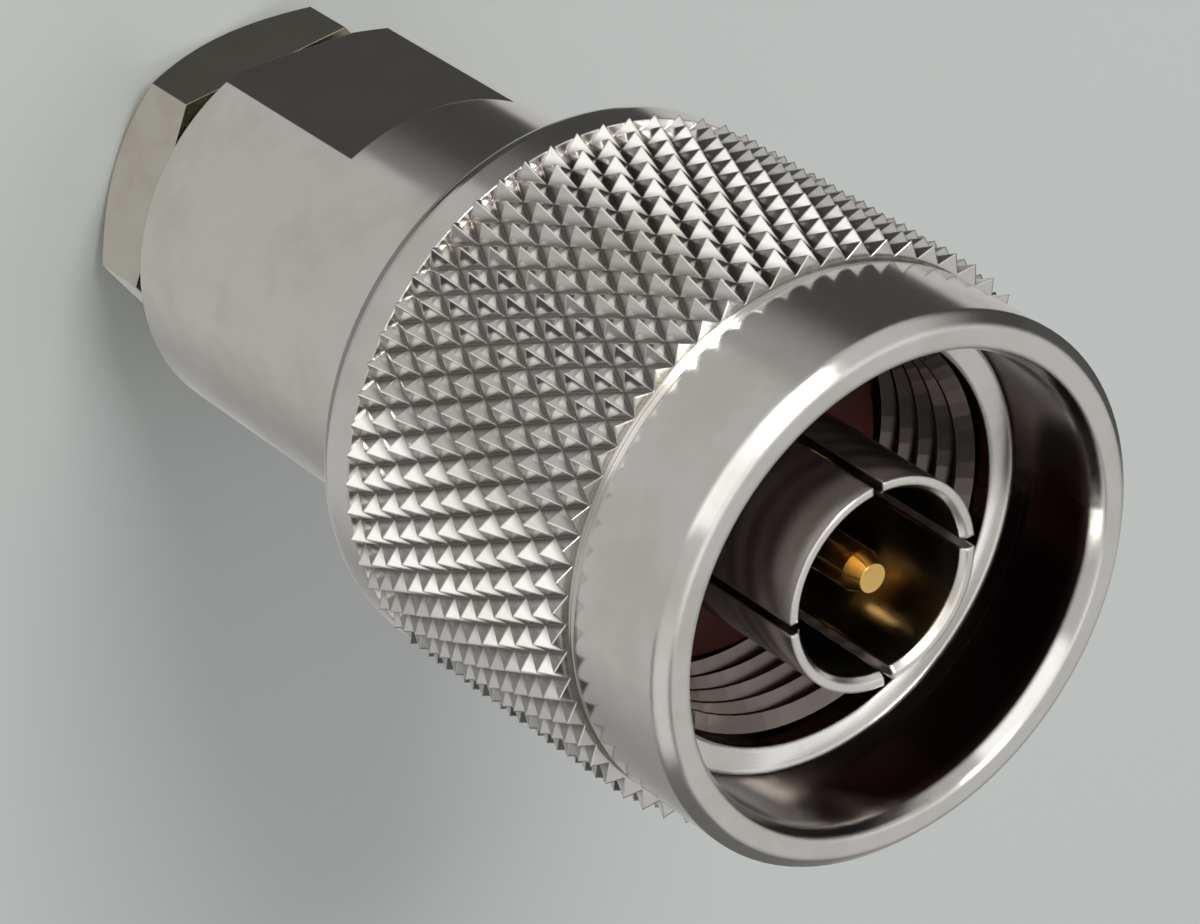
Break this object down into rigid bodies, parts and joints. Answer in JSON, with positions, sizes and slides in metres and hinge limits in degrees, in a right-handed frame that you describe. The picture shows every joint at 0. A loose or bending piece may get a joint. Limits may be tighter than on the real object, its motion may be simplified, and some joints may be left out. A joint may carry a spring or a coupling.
{
  "type": "n type connector",
  "caption": "Straight coaxial plug with a knurled screw-on coupling nut, slotted outer contact, gold centre pin, flatted body and hexagon clamp nut for a thin cable.",
  "frame": {"origin": "middle of the clamp nut's rear face, which the plug stands on", "axes": "+Z along the plug's axis to the mating face; +Y square to the body's wrench flats"},
  "size_m": [0.0224, 0.0224, 0.0409],
  "materials": {
    "nickel": "bright nickel plate over turned brass",
    "gold": "gold plate",
    "white_insulator": "smooth white PTFE",
    "red_rubber": "red-brown silicone rubber",
    "spring_steel": "spring steel"
  },
  "bodies": {
    "plug": {"body": "nickel", "outer_contact": "nickel", "centre_contact": "gold", "front_insulator": "white_insulator", "rear_insulator": "white_insulator", "front_gasket": "red_rubber"},
    "coupling": {"coupling_nut": "nickel", "retaining_ring": "spring_steel"},
    "gland": {"slip_washer": "nickel", "cable_gasket": "red_rubber", "braid_clamp": "nickel"},
    "clamp": {"clamp_nut": "nickel"}
  },
  "joints": [
    {"name": "coupling_nut_turn", "type": "hinge", "parent": "plug", "child": "coupling", "pos_m": [0, 0, 0.031], "axis": [0, 0, 1], "continuous": true},
    {"name": "gland_travel", "type": "slide", "parent": "plug", "child": "gland", "axis": [0, 0, -1], "range_m": [0, 0.0065]},
    {"name": "clamp_nut_turn", "type": "hinge", "parent": "gland", "child": "clamp", "pos_m": [0, 0, 0.008], "axis": [0, 0, -1], "range_deg": [0, 2340]}
  ],
  "couplings": [
    {"joint": "gland_travel", "follows": "clamp_nut_turn", "m_per_rad": 0.00015915}
  ]
}
